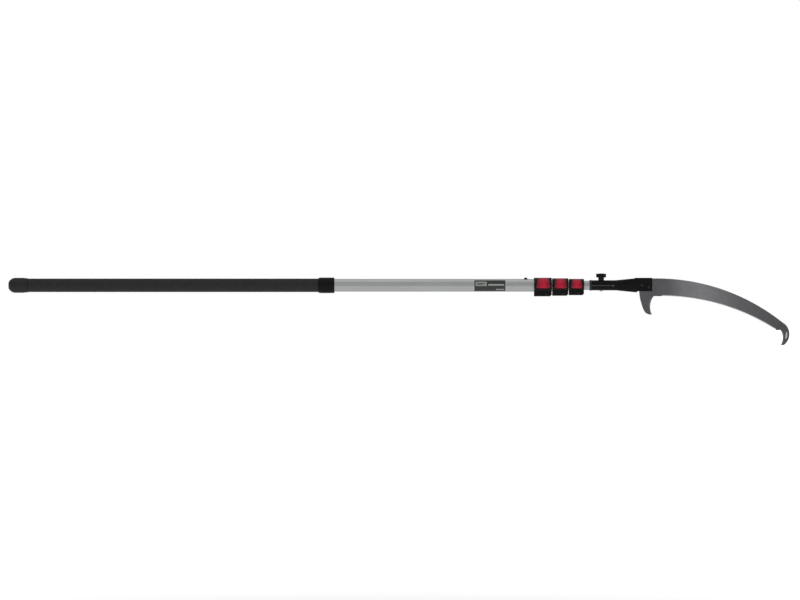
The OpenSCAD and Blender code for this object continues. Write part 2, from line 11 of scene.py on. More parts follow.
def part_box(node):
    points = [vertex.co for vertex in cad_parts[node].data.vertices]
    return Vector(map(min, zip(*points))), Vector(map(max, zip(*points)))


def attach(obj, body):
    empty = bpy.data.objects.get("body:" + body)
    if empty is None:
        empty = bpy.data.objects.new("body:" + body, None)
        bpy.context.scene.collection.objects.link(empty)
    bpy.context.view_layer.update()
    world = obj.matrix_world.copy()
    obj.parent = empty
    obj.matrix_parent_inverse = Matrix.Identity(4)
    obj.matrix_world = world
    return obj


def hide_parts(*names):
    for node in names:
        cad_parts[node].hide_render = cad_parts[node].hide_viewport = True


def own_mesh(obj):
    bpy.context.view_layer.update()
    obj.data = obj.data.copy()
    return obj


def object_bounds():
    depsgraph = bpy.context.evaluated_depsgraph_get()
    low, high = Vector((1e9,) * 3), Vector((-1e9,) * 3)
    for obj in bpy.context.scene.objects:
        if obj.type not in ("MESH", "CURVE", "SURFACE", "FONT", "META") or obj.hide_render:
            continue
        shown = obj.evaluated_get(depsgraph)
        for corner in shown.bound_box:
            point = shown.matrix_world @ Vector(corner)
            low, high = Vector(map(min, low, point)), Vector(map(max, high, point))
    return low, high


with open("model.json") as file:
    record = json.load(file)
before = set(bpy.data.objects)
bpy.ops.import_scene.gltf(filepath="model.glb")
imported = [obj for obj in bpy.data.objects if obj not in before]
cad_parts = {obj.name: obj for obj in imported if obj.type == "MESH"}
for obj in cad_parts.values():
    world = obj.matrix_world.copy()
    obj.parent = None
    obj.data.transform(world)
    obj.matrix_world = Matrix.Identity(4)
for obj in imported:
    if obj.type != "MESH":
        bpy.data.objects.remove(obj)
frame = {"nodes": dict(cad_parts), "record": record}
cad_low, cad_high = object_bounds()
MM = 0.001
FLOOR_DROP = 0.9        # from the lowest point to the floor
FLOOR_REACH = 150
FLOOR_GLOW = 0.27       # light the floor gives to everything
FLOOR_LIFT = 0.24       # more of it, close by, for the camera only
FADE_START, FADE_END = 1.6, 4.5  # where the floor starts to turn white, and where it is white
TUBE_WALL = 1.4 * MM
END_SHARE = 0.42        # the oval's end radius as a share of its width
SNAP_SETBACK = 26 * MM  # from a snap hole to the clamp in front of it
NODE_BODY = {node: body for body, nodes in frame["record"]["behaviour"]["bodies"].items() for node in nodes}
NODE_SLOT = {part["node"]: part["material_slot"] for part in frame["record"]["subparts"]}


# ---------------------------------------------------------------- camera, floor and light

def aim(thing, target):
    thing.rotation_euler = (Vector(target) - thing.location).to_track_quat("-Z", "Y").to_euler()


def make_camera():
    """A long lens square on to the side, so that the pole's far parts look the same size as its near ones."""
    view_width = (cad_high.x - cad_low.x) * 1.0245
    centre = Vector(((cad_low.x + cad_high.x) / 2 + 3 * MM, 0, -46 * MM))
    data = bpy.data.cameras.new("camera")
    data.lens = 200
    data.sensor_width = 36
    distance = view_width / 2 / (data.sensor_width / 2 / data.lens)
    data.clip_start = 0.5
    data.clip_end = 200
    camera = bpy.data.objects.new("camera", data)
    bpy.context.collection.objects.link(camera)
    camera.location = centre + Vector((0, -distance, 0))
    aim(camera, centre)
    bpy.context.scene.camera = camera


def area_light(name, location, target, size, power):
    data = bpy.data.lights.new(name, "AREA")
    data.shape = "RECTANGLE"
    data.size, data.size_y = size
    data.energy = power
    light = bpy.data.objects.new(name, data)
    bpy.context.collection.objects.link(light)
    light.location = location
    aim(light, target)


def make_world():
    """An even grey room: brighter overhead, darker round the horizon, and white where the camera sees it."""
    world = bpy.data.worlds.new("studio")
    bpy.context.scene.world = world
    world.use_nodes = True
    nodes, links = world.node_tree.nodes, world.node_tree.links
    background = nodes["Background"]
    coords = nodes.new("ShaderNodeTexCoord")
    split = nodes.new("ShaderNodeSeparateXYZ")
    ramp = nodes.new("ShaderNodeValToRGB")
    horizon, overhead = ramp.color_ramp.elements
    horizon.position, horizon.color = 0.1, (0.225, 0.225, 0.23, 1)
    overhead.position, overhead.color = 0.75, (0.54, 0.54, 0.54, 1)
    seen = nodes.new("ShaderNodeLightPath")
    mix = nodes.new("ShaderNodeMixRGB")
    mix.inputs["Color2"].default_value = (1, 1, 1, 1)
    links.new(coords.outputs["Generated"], split.inputs[0])
    links.new(split.outputs["Z"], ramp.inputs[0])
    links.new(seen.outputs["Is Camera Ray"], mix.inputs["Fac"])
    links.new(ramp.outputs["Color"], mix.inputs["Color1"])
    links.new(mix.outputs[0], background.inputs["Color"])


def floor_paper():
    """Pale paper that fades into the white background with distance."""
    material = bpy.data.materials.new("floor_paper")
    material.use_nodes = True
    nodes, links = material.node_tree.nodes, material.node_tree.links
    shader = nodes["Principled BSDF"]
    shader.inputs["Base Color"].default_value = (0.8, 0.8, 0.8, 1)
    shader.inputs["Roughness"].default_value = 0.9
    coords = nodes.new("ShaderNodeTexCoord")
    distance = nodes.new("ShaderNodeVectorMath")
    distance.operation = "LENGTH"
    fade = nodes.new("ShaderNodeMapRange")
    fade.inputs["From Min"].default_value = FADE_START
    fade.inputs["From Max"].default_value = FADE_END
    seen = nodes.new("ShaderNodeLightPath")
    lift = nodes.new("ShaderNodeMapRange")
    lift.inputs["To Min"].default_value = FLOOR_LIFT
    lift.inputs["To Max"].default_value = 1 - FLOOR_GLOW
    both = nodes.new("ShaderNodeMath")
    both.operation = "MULTIPLY_ADD"
    both.inputs[2].default_value = FLOOR_GLOW
    links.new(coords.outputs["Object"], distance.inputs[0])
    links.new(distance.outputs["Value"], fade.inputs["Value"])
    links.new(fade.outputs[0], lift.inputs["Value"])
    links.new(lift.outputs[0], both.inputs[0])
    links.new(seen.outputs["Is Camera Ray"], both.inputs[1])
    shader.inputs["Emission Color"].default_value = (1, 1, 1, 1)
    links.new(both.outputs[0], shader.inputs["Emission Strength"])
    return material


def make_studio():
    """Soft light all round, with a pale floor well under the pole."""
    middle = (cad_low + cad_high) / 2
    length = cad_high.x - cad_low.x
    area_light("top_light", (middle.x, -0.7, 2.4), middle, (length * 1.5, 1.2), 4)
    area_light("front_light", (middle.x - 0.6, -3.4, 1.0), middle, (2.6, 1.4), 4)
    area_light("back_light", (middle.x + 0.4, 2.6, 1.5), middle, (2.8, 1.2), 6)
    make_world()
    mesh = bpy.data.meshes.new("floor")
    corners = [(-FLOOR_REACH, -FLOOR_REACH), (FLOOR_REACH, -FLOOR_REACH),
               (FLOOR_REACH, FLOOR_REACH), (-FLOOR_REACH, FLOOR_REACH)]
    mesh.from_pydata([(x, y, 0) for x, y in corners], [], [(0, 1, 2, 3)])
    mesh.materials.append(floor_paper())
    floor = bpy.data.objects.new("floor", mesh)
    floor.location = (middle.x, 0, cad_low.z - FLOOR_DROP)
    bpy.context.collection.objects.link(floor)
    bpy.context.scene.view_settings.view_transform = "Standard"


# ---------------------------------------------------------------- materials

class Finish:
    """A Principled material with helpers for the procedural nodes that feed it."""

    def __init__(self, name, **sockets):
        self.material = bpy.data.materials.new(name)
        self.material.use_nodes = True
        self.nodes = self.material.node_tree.nodes
        self.links = self.material.node_tree.links
        self.shader = self.nodes["Principled BSDF"]
        for socket, value in sockets.items():
            self.shader.inputs[socket.replace("_", " ")].default_value = value
        self.coords = self.nodes.new("ShaderNodeTexCoord").outputs["Object"]

    def node(self, kind, **settings):
        made = self.nodes.new("ShaderNode" + kind)
        for key, value in settings.items():
            setattr(made, key, value)
        return made

    def stretched(self, scale):
        mapping = self.node("Mapping")
        mapping.inputs["Scale"].default_value = scale
        self.links.new(self.coords, mapping.inputs["Vector"])
        return mapping.outputs[0]

    def noise(self, scale, detail=4.0, roughness=0.6):
        made = self.node("TexNoise")
        made.inputs["Scale"].default_value = 1.0
        made.inputs["Detail"].default_value = detail
        made.inputs["Roughness"].default_value = roughness
        self.links.new(self.stretched(scale), made.inputs["Vector"])
        return made.outputs[0]

    def ramp(self, value, stops):
        """Maps a value to colours: stops are (position, colour or grey)."""
        made = self.node("ValToRGB")
        ramp = made.color_ramp
        while len(ramp.elements) < len(stops):
            ramp.elements.new(0.5)
        for element, (position, colour) in zip(ramp.elements, stops):
            element.position = position
            grey = isinstance(colour, (int, float))
            element.color = (colour, colour, colour, 1) if grey else (*colour, 1)
        self.links.new(value, made.inputs[0])
        return made.outputs[0]

    def math(self, operation, first, second):
        made = self.node("Math", operation=operation)
        for socket, value in zip(made.inputs, (first, second)):
            if isinstance(value, (int, float)):
                socket.default_value = value
            else:
                self.links.new(value, socket)
        return made.outputs[0]

    def mix(self, factor, first, second):
        made = self.node("MixRGB")
        for socket, value in zip(made.inputs, (factor, first, second)):
            if isinstance(value, bpy.types.NodeSocket):
                self.links.new(value, socket)
            else:
                socket.default_value = value if isinstance(value, (int, float)) else (*value, 1)
        return made.outputs[0]

    def scuffs(self, strength):
        """Sparse fine scratches, for handled surfaces."""
        scratch = self.noise((260, 900, 520), detail=6, roughness=0.7)
        return self.ramp(scratch, [(0.6, 0.0), (0.78, strength)])

    def position(self, axis):
        split = self.node("SeparateXYZ")
        self.links.new(self.coords, split.inputs[0])
        return split.outputs[axis]

    def colour(self, value):
        self.links.new(value, self.shader.inputs["Base Color"])

    def rough(self, value, low, high):
        self.links.new(self.ramp(value, [(0.25, low), (0.75, high)]), self.shader.inputs["Roughness"])

    def bump(self, value, height, strength):
        made = self.node("Bump")
        made.inputs["Distance"].default_value = height
        made.inputs["Strength"].default_value = strength
        self.links.new(value, made.inputs["Height"])
        self.links.new(made.outputs[0], self.shader.inputs["Normal"])


def aluminium_tube():
    """Drawn and anodised: fine lines, faint smudges, and painted shade where the socket hides the tube."""
    finish = Finish("aluminium_tube", Metallic=1.0, Anisotropic=0.5)
    lines = finish.noise((14, 1500, 1500), detail=5)
    smudge = finish.noise((9, 30, 30))
    drawn = finish.ramp(lines, [(0.3, (0.5, 0.515, 0.51)), (0.7, (0.6, 0.615, 0.61))])
    smudged = finish.mix(finish.ramp(smudge, [(0.35, 0.0), (0.75, 0.35)]), drawn, (0.46, 0.47, 0.47))
    # painted shade: the tube is darkened where it runs inside the head socket, for the shade in there
    painted_socket_shade = finish.math("GREATER_THAN", finish.position("X"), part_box("head_socket")[0].x)
    finish.colour(finish.mix(finish.math("MULTIPLY", painted_socket_shade, 0.8), smudged, (0.09, 0.09, 0.09)))
    half_lines = finish.math("MULTIPLY", lines, 0.5)
    half_smudge = finish.math("MULTIPLY", smudge, 0.5)
    finish.rough(finish.math("ADD", half_lines, half_smudge), 0.26, 0.4)
    finish.bump(lines, 0.008 * MM, 0.4)
    return finish.material


def rubber_grip():
    """Matt black rubber, faintly dusty."""
    finish = Finish("rubber_grip", Specular_IOR_Level=0.4)
    dust = finish.noise((60, 60, 60))
    grain = finish.noise((1800, 1800, 1800), detail=2)
    finish.colour(finish.ramp(dust, [(0.3, (0.012, 0.012, 0.012)), (0.75, (0.028, 0.028, 0.029))]))
    finish.rough(dust, 0.5, 0.68)
    finish.bump(finish.math("ADD", grain, finish.math("MULTIPLY", dust, 0.5)), 0.05 * MM, 0.7)
    return finish.material


def rubber_cap():
    finish = Finish("rubber_cap", Specular_IOR_Level=0.4)
    scuffs = finish.noise((90, 240, 240))
    grain = finish.noise((1400, 1400, 1400), detail=2)
    base = finish.ramp(scuffs, [(0.35, 0.008), (0.8, 0.03)])
    finish.colour(finish.mix(finish.scuffs(0.5), base, (0.09, 0.09, 0.09)))
    finish.rough(scuffs, 0.42, 0.62)
    finish.bump(grain, 0.04 * MM, 0.7)
    return finish.material


def moulded(name, dark, light, rough, worn, specular=0.5):
    """Injection moulded plastic: a fine spark-eroded grain, slight mottling and fine scratches."""
    finish = Finish(name, Specular_IOR_Level=specular)
    mottle = finish.noise((140, 140, 140))
    grain = finish.noise((2600, 2600, 2600), detail=2)
    base = finish.ramp(mottle, [(0.3, dark), (0.75, light)])
    finish.colour(finish.mix(finish.scuffs(0.6), base, worn))
    finish.rough(mottle, *rough)
    finish.bump(grain, 0.03 * MM, 0.6)
    return finish.material


def red_plastic():
    """Clear red moulding, paler down the middle of each lever as a painted highlight."""
    finish = Finish("red_plastic", Specular_IOR_Level=0.25, Coat_Weight=0.08, Coat_Roughness=0.2)
    mottle = finish.noise((140, 140, 140))
    # painted highlight: a paler red band down the middle of each lever stands in for the sheen on its rounded
    # face
    middle = 0.0
    for i in (1, 2, 3):
        low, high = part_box(f"clamp_{i}_lever")
        from_middle = finish.math("SUBTRACT", finish.position("X"), (low.x + high.x) / 2)
        off_centre = finish.math("ABSOLUTE", from_middle, 0)
        near = finish.math("SUBTRACT", 1, finish.math("DIVIDE", off_centre, (high.x - low.x) / 2))
        middle = finish.math("MAXIMUM", middle, near)
    sides = finish.ramp(mottle, [(0.3, (0.17, 0.006, 0.018)), (0.75, (0.24, 0.008, 0.025))])
    painted_highlight = finish.mix(finish.ramp(middle, [(0.05, 0.0), (0.85, 1.0)]), sides, (0.66, 0.009, 0.046))
    finish.colour(finish.mix(finish.scuffs(0.5), painted_highlight, (0.5, 0.06, 0.08)))
    finish.rough(mottle, 0.26, 0.4)
    finish.bump(finish.noise((2600, 2600, 2600), detail=2), 0.03 * MM, 0.6)
    return finish.material


def steel(name, dark, light, rough, metallic=1.0):
    finish = Finish(name, Metallic=metallic)
    streaks = finish.noise((500, 500, 500), detail=5)
    base = finish.ramp(streaks, [(0.3, dark), (0.7, light)])
    finish.colour(finish.mix(finish.scuffs(0.5), base, (0.7, 0.7, 0.7)))
    finish.rough(streaks, *rough)
    finish.bump(streaks, 0.015 * MM, 0.5)
    return finish.material


def coated_steel():
    """Black powder coat: a fine orange-peel skin with greyer scratches."""
    finish = Finish("coated_steel", Specular_IOR_Level=0.15)
    peel = finish.noise((900, 900, 900), detail=3)
    dust = finish.noise((70, 70, 70))
    base = finish.ramp(dust, [(0.3, (0.003, 0.003, 0.0033)), (0.8, (0.008, 0.008, 0.0085))])
    finish.colour(finish.mix(finish.scuffs(0.6), base, (0.08, 0.08, 0.08)))
    finish.rough(dust, 0.3, 0.45)
    finish.bump(peel, 0.06 * MM, 0.6)
    return finish.material


def blade_steel():
    """Ground plate: cross-grinding lines, a paler middle, darker towards the tip."""
    finish = Finish("blade_steel", Metallic=1.0, Anisotropic=0.35)
    low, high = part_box("blade")
    along_blade = finish.math("DIVIDE", finish.math("SUBTRACT", finish.position("X"), low.x), high.x - low.x)
    tone = finish.ramp(along_blade, [
        (0.18, (0.16, 0.157, 0.168)), (0.26, (0.19, 0.19, 0.203)), (0.34, (0.31, 0.31, 0.33)),
        (0.45, (0.39, 0.39, 0.41)), (0.58, (0.31, 0.31, 0.325)), (0.7, (0.21, 0.205, 0.215)),
        (0.86, (0.175, 0.168, 0.175)), (1.0, (0.14, 0.135, 0.137))])
    grinding = finish.noise((2200, 400, 90), detail=6)
    stains = finish.noise((55, 55, 55))
    ground = finish.mix(finish.ramp(grinding, [(0.35, 0.0), (0.7, 0.16)]), tone, (0.45, 0.45, 0.47))
    finish.colour(finish.mix(finish.ramp(stains, [(0.45, 0.0), (0.8, 0.25)]), ground, (0.14, 0.13, 0.13)))
    finish.rough(grinding, 0.3, 0.45)
    finish.bump(grinding, 0.012 * MM, 0.5)
    return finish.material


def ground_edge(name, dark, light):
    """The ground bevels of the teeth, the sickle and the hook, with fine lines across them."""
    finish = Finish(name, Metallic=1.0)
    lines = finish.noise((900, 900, 3000), detail=5)
    finish.colour(finish.ramp(lines, [(0.3, dark), (0.7, light)]))
    finish.rough(lines, 0.2, 0.34)
    finish.bump(lines, 0.01 * MM, 0.5)
    return finish.material


def label_film():
    """A dark printed film with a pale panel and two plain rules: no lettering."""
    finish = Finish("label", Coat_Weight=0.4, Coat_Roughness=0.15)
    low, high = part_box("label_plate")
    x = finish.math("DIVIDE", finish.math("SUBTRACT", finish.position("X"), low.x), high.x - low.x)
    z = finish.math("DIVIDE", finish.math("SUBTRACT", finish.position("Z"), low.z), high.z - low.z)

    def patch(x0, x1, z0, z1):
        sides = [finish.math("GREATER_THAN", x, x0), finish.math("LESS_THAN", x, x1),
                 finish.math("GREATER_THAN", z, z0), finish.math("LESS_THAN", z, z1)]
        return finish.math("MULTIPLY", finish.math("MULTIPLY", sides[0], sides[1]),
                           finish.math("MULTIPLY", sides[2], sides[3]))

    ink = finish.ramp(finish.noise((120, 120, 120)), [(0.3, 0.012), (0.8, 0.03)])
    printed = finish.mix(patch(0.04, 0.4, 0.46, 0.88), ink, (0.36, 0.4, 0.36))
    printed = finish.mix(patch(0.09, 0.33, 0.66, 0.74), printed, (0.05, 0.055, 0.05))
    printed = finish.mix(patch(0.09, 0.27, 0.55, 0.61), printed, (0.08, 0.085, 0.08))
    printed = finish.mix(patch(0.45, 0.96, 0.5, 0.66), printed, (0.45, 0.46, 0.46))
    printed = finish.mix(patch(0.7, 0.96, 0.1, 0.2), printed, (0.4, 0.4, 0.4))
    finish.colour(printed)
    finish.rough(finish.noise((300, 300, 300)), 0.25, 0.4)
    return finish.material


def make_materials():
    return {
        "aluminium_tube": aluminium_tube(),
        "rubber_grip": rubber_grip(),
        "rubber_cap": rubber_cap(),
        "plug_plastic": moulded("plug_plastic", 0.03, 0.05, (0.45, 0.6), (0.12, 0.12, 0.12)),
        "black_plastic": moulded("black_plastic", 0.003, 0.007, (0.34, 0.48), (0.04, 0.04, 0.04),
                                 specular=0.16),
        "red_plastic": red_plastic(),
        "rim_plastic": moulded("rim_plastic", (0.014, 0.02, 0.03), (0.022, 0.03, 0.044), (0.3, 0.42),
                               (0.1, 0.11, 0.13), specular=0.4),
        "label": label_film(),
        "spring_steel": steel("spring_steel", 0.5, 0.66, (0.25, 0.38)),
        "zinc_steel": steel("zinc_steel", (0.5, 0.5, 0.49), (0.66, 0.66, 0.65), (0.28, 0.42)),
        "brass": steel("brass", (0.16, 0.12, 0.05), (0.26, 0.19, 0.09), (0.4, 0.55)),
        "black_steel": steel("black_steel", 0.015, 0.035, (0.38, 0.52), metallic=0.5),
        "coated_steel": coated_steel(),
        "blade_steel": blade_steel(),
        "ground_edge": ground_edge("ground_edge", 0.25, 0.37),
        # the hook's ground hollow is real; its near-white colour is a painted glint
        "polished_groove_painted_glint": ground_edge("polished_groove_painted_glint", 0.8, 0.95),
        "worn_black": moulded("worn_black", 0.02, 0.045, (0.25, 0.36), (0.1, 0.1, 0.1), specular=0.4),
        "worn_red": moulded("worn_red", (0.42, 0.02, 0.04), (0.56, 0.05, 0.07), (0.22, 0.34),
                            (0.6, 0.2, 0.2)),
    }


# ---------------------------------------------------------------- mesh helpers

def oval_points(height, width, per_end=28, per_side=12):
    """The tubes' four-arc oval as (y, z) points, in order round it."""
    end_r = END_SHARE * width
    end_z = height / 2 - end_r
    slack = width / 2 - end_r
    side_off = (end_z ** 2 - slack ** 2) / (2 * slack)
    side_r = side_off + width / 2
    lean = math.asin(end_z / (side_r - end_r))
    arcs = [((-side_off, 0), side_r, -lean, lean, per_side),
            ((0, end_z), end_r, lean, math.pi - lean, per_end),
            ((side_off, 0), side_r, math.pi - lean, math.pi + lean, per_side),
            ((0, -end_z), end_r, math.pi + lean, 2 * math.pi - lean, per_end)]
    points = []
    for (cy, cz), radius, start, stop, count in arcs:
        for k in range(count):
            angle = start + (stop - start) * k / count
            points.append((cy + radius * math.cos(angle), cz + radius * math.sin(angle)))
    return points


def new_piece(name, bm, node, materials, sharp):
    """Turns a bmesh into a piece that stands for a CAD node."""
    bmesh.ops.recalc_face_normals(bm, faces=bm.faces)
    mesh = bpy.data.meshes.new(name)
    bm.to_mesh(mesh)
    bm.free()
    mesh.shade_smooth()
    mesh.set_sharp_from_angle(angle=math.radians(sharp))
    for material in materials:
        mesh.materials.append(material)
    piece = bpy.data.objects.new(name, mesh)
    bpy.context.collection.objects.link(piece)
    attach(piece, NODE_BODY[node])
    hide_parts(node)
    return piece


def bridge_rings(bm, rings, closed):
    """Joins rings of vertices one after the other with quads; closed also joins the last to the first."""
    count = len(rings[0])
    pairs = list(zip(rings, rings[1:])) + ([(rings[-1], rings[0])] if closed else [])
    for first, second in pairs:
        for k in range(count):
            n = (k + 1) % count
            bm.faces.new((first[k], first[n], second[n], second[k]))


def swept_oval(stations):
    """A ring-shaped solid: stations are (x, height, width), out along the outside and back along the bore."""
    bm = bmesh.new()
    rings = [[bm.verts.new((x, y, z)) for y, z in oval_points(h, w)] for x, h, w in stations]
    bridge_rings(bm, rings, closed=True)
    return bm


def cut_round_hole(piece, x, radius, z_low, z_high):
    """A vertical hole through a tube's wall."""
    bm = bmesh.new()
    depth = z_high - z_low
    bmesh.ops.create_cone(bm, cap_ends=True, segments=40, radius1=radius, radius2=radius, depth=depth)
    bmesh.ops.translate(bm, verts=bm.verts, vec=(x, 0, (z_low + z_high) / 2))
    mesh = bpy.data.meshes.new("cutter")
    bm.to_mesh(mesh)
    bm.free()
    cutter = bpy.data.objects.new("cutter", mesh)
    bpy.context.collection.objects.link(cutter)
    modifier = piece.modifiers.new("hole", "BOOLEAN")
    modifier.operation = "DIFFERENCE"
    modifier.solver = "EXACT"
    modifier.object = cutter
    apply_modifiers(piece)
    bpy.data.objects.remove(cutter)


def apply_modifiers(piece):
    depsgraph = bpy.context.evaluated_depsgraph_get()
    done = bpy.data.meshes.new_from_object(piece.evaluated_get(depsgraph))
    piece.modifiers.clear()
    piece.data = done


# ---------------------------------------------------------------- tubes, grip and cap

def tube(node, holes, materials):
    """A drawn tube with slightly rounded rims, and its snap holes."""
    low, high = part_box(node)
    h, w = high.z - low.z, high.y - low.y
    inner_h, inner_w = h - 2 * TUBE_WALL, w - 2 * TUBE_WALL
    rim = 0.25 * MM
    span = high.x - low.x
    cuts = 24
    body = [(low.x + rim + (span - 2 * rim) * k / cuts, h, w) for k in range(cuts + 1)]
    bore = [(x, inner_h, inner_w) for x, _, _ in reversed(body)]
    stations = ([(low.x, h - 2 * rim, w - 2 * rim)] + body + [(high.x, h - 2 * rim, w - 2 * rim)]
                + [(high.x, inner_h + rim, inner_w + rim)] + bore + [(low.x, inner_h + rim, inner_w + rim)])
    piece = new_piece(node + "_drawn", swept_oval(stations), node, [materials["aluminium_tube"]], sharp=30)
    for x, radius in holes:
        cut_round_hole(piece, x, radius, h / 2 - 6 * MM, h / 2 + 3 * MM)


def middle_x(node):
    low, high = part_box(node)
    return (low.x + high.x) / 2


def make_tubes(materials):
    hole = 3.2 * MM
    snap = 2.86 * MM
    clamps = {i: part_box(f"clamp_{i}_collar")[0].x for i in (1, 2, 3)}
    tube("base_tube", [(clamps[1] - SNAP_SETBACK, hole)], materials)
    tube("tube_2", [(clamps[2] - SNAP_SETBACK, hole), (middle_x("snap_pin_2"), snap)], materials)
    tube("tube_3", [(clamps[3] - SNAP_SETBACK, hole), (middle_x("snap_pin_3"), snap)], materials)
    tube("tube_4", [(middle_x("snap_pin_4"), snap)], materials)


def make_grip(materials):
    """Rubber sleeve with shallow rounded cross ribs along its whole length."""
    low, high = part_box("grip_sleeve")
    tube_low, tube_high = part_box("base_tube")
    bore_h, bore_w = tube_high.z - tube_low.z, tube_high.y - tube_low.y
    h, w = high.z - low.z, high.y - low.y
    pitch, depth, steps = 5 * MM, 0.35 * MM, 4
    ribs = round((high.x - low.x - 2 * pitch) / pitch)
    start = (low.x + high.x - ribs * pitch) / 2
    stations = [(low.x, h - 1.2 * MM, w - 1.2 * MM), (low.x + 0.6 * MM, h, w), (start, h, w)]
    for k in range(1, ribs * steps):
        dip = depth * (0.5 - 0.5 * math.cos(2 * math.pi * k / steps)) ** 2
        stations.append((start + pitch * k / steps, h - 2 * dip, w - 2 * dip))
    stations += [(start + ribs * pitch, h, w), (high.x - 0.6 * MM, h, w),
                 (high.x, h - 1.2 * MM, w - 1.2 * MM)]
    stations += [(high.x, bore_h, bore_w), (low.x, bore_h, bore_w)]
    new_piece("grip_ribbed", swept_oval(stations), "grip_sleeve", [materials["rubber_grip"]], sharp=60)


def make_grip_collar(materials):
    low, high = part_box("grip_collar")
    tube_low, tube_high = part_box("base_tube")
    bore_h, bore_w = tube_high.z - tube_low.z, tube_high.y - tube_low.y
    h, w = high.z - low.z, high.y - low.y

    def ring(x, inset):
        return (x, h - 2 * inset, w - 2 * inset)

    groove = 0.5 * MM
    stations = [ring(low.x, 3.0 * MM), ring(low.x + 0.8 * MM, 2.1 * MM), ring(low.x + 2.6 * MM, 0.5 * MM),
                ring(low.x + 4 * MM, 0), ring(low.x + 8 * MM, 0), ring(low.x + 8.6 * MM, groove),
                ring(low.x + 9.8 * MM, groove), ring(low.x + 10.4 * MM, 0), ring(high.x - 10.4 * MM, 0),
                ring(high.x - 9.8 * MM, groove), ring(high.x - 8.6 * MM, groove), ring(high.x - 8 * MM, 0),
                ring(high.x - 1.6 * MM, 0), ring(high.x - 0.5 * MM, 0.5 * MM), ring(high.x, 1.6 * MM),
                (high.x, bore_h, bore_w), (low.x, bore_h, bore_w)]
    new_piece("grip_collar_moulded", swept_oval(stations), "grip_collar",
              [materials["black_plastic"]], sharp=50)


def make_cap(materials):
    """Rubber butt cap: a domed end with a small flat, a bead at its mouth and a short lip."""
    low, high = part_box("end_cap")
    tube_low, tube_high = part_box("base_tube")
    bore_h, bore_w = tube_high.z - tube_low.z, tube_high.y - tube_low.y
    h, w = high.z - low.z, high.y - low.y
    lip = 10 * MM
    dome = h / 2 - 2 * MM
    steps = 14
    stations = []
    squat = dome / (h / 2)
    flat_angle = math.acos(min(1, squat))
    for k in range(steps + 1):
        angle = flat_angle + (math.pi / 2 - flat_angle) * k / steps
        share = math.sin(angle)
        stations.append((low.x + dome * (1 - math.cos(angle) / squat), h * share, w * share))
    mouth = high.x - lip
    stations += [(mouth - 4 * MM, h, w), (mouth - 3 * MM, h - 0.8 * MM, w - 0.8 * MM),
                 (mouth - 2 * MM, h, w), (mouth - 0.8 * MM, h, w), (mouth, h - 1.4 * MM, w - 1.4 * MM),
                 (mouth + 0.4 * MM, h - 1.8 * MM, w - 1.8 * MM),
                 (high.x - 1 * MM, h - 2.0 * MM, w - 2.0 * MM),
                 (high.x, h - 3.6 * MM, w - 3.6 * MM), (high.x, bore_h, bore_w), (tube_low.x, bore_h, bore_w)]
    bm = bmesh.new()
    rings = [[bm.verts.new((x, y, z)) for y, z in oval_points(rh, rw)] for x, rh, rw in stations]
    bridge_rings(bm, rings, closed=False)
    for ring in (rings[0], rings[-1]):
        centre = bm.verts.new(sum((v.co for v in ring), Vector()) / len(ring))
        for k, vert in enumerate(ring):
            bm.faces.new((vert, ring[(k + 1) % len(ring)], centre))
    new_piece("end_cap_moulded", bm, "end_cap", [materials["rubber_cap"]], sharp=45)


def make_label(materials):
    """Thin film that follows the tube's front."""
    low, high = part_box("label_plate")
    tube_low, tube_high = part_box("base_tube")
    h, w = tube_high.z - tube_low.z, tube_high.y - tube_low.y
    skin = 0.28 * MM
    arc = [(y, z) for y, z in oval_points(h, w, 60, 40) if y < 0 and low.z < z < high.z]
    arc.sort(key=lambda p: p[1])
    outer = [(y * (w / 2 + skin) / (w / 2), z * (h / 2 + skin) / (h / 2)) for y, z in arc]
    bm = bmesh.new()
    loops = []
    for x in (low.x, high.x):
        loops.append([bm.verts.new((x, y, z)) for y, z in outer + arc[::-1]])
    bridge_rings(bm, loops, closed=False)
    count = len(arc)
    for loop in loops:
        for k in range(count - 1):
            bm.faces.new((loop[k], loop[k + 1], loop[2 * count - 2 - k], loop[2 * count - 1 - k]))
    new_piece("label_film", bm, "label_plate", [materials["label"]], sharp=40)


# ---------------------------------------------------------------- blade

def arc_points(centre, radius, start, stop, count):
    """Points of an arc in the (x, z) plane; angles are in radians from +X towards +Z."""
    return [centre + Vector((math.cos(a), math.sin(a))) * radius
            for a in (start + (stop - start) * k / count for k in range(count + 1))]


def offset_arc(centre, radius, width, start, stop, count):
    """An arc that swells away from a radius by a width and comes back to it at both ends."""
    points = []
    for k in range(1, count):
        angle = start + (stop - start) * k / count
        swell = width * math.sin(math.pi * k / count) ** 0.6
        points.append(centre + Vector((math.cos(angle), math.sin(angle))) * (radius + swell))
    return points


def smooth_through(points, steps):
    """A Catmull-Rom curve through points, with its first and last point kept."""
    padded = [points[0] * 2 - points[1]] + points + [points[-1] * 2 - points[-2]]
    curve = []
    for p0, p1, p2, p3 in zip(padded, padded[1:], padded[2:], padded[3:]):
        for k in range(steps):
            t = k / steps
            curve.append(0.5 * (2 * p1 + (p2 - p0) * t + (2 * p0 - 5 * p1 + 4 * p2 - p3) * t ** 2
                                + (3 * p1 - p0 - 3 * p2 + p3) * t ** 3))
    return curve + [points[-1]]


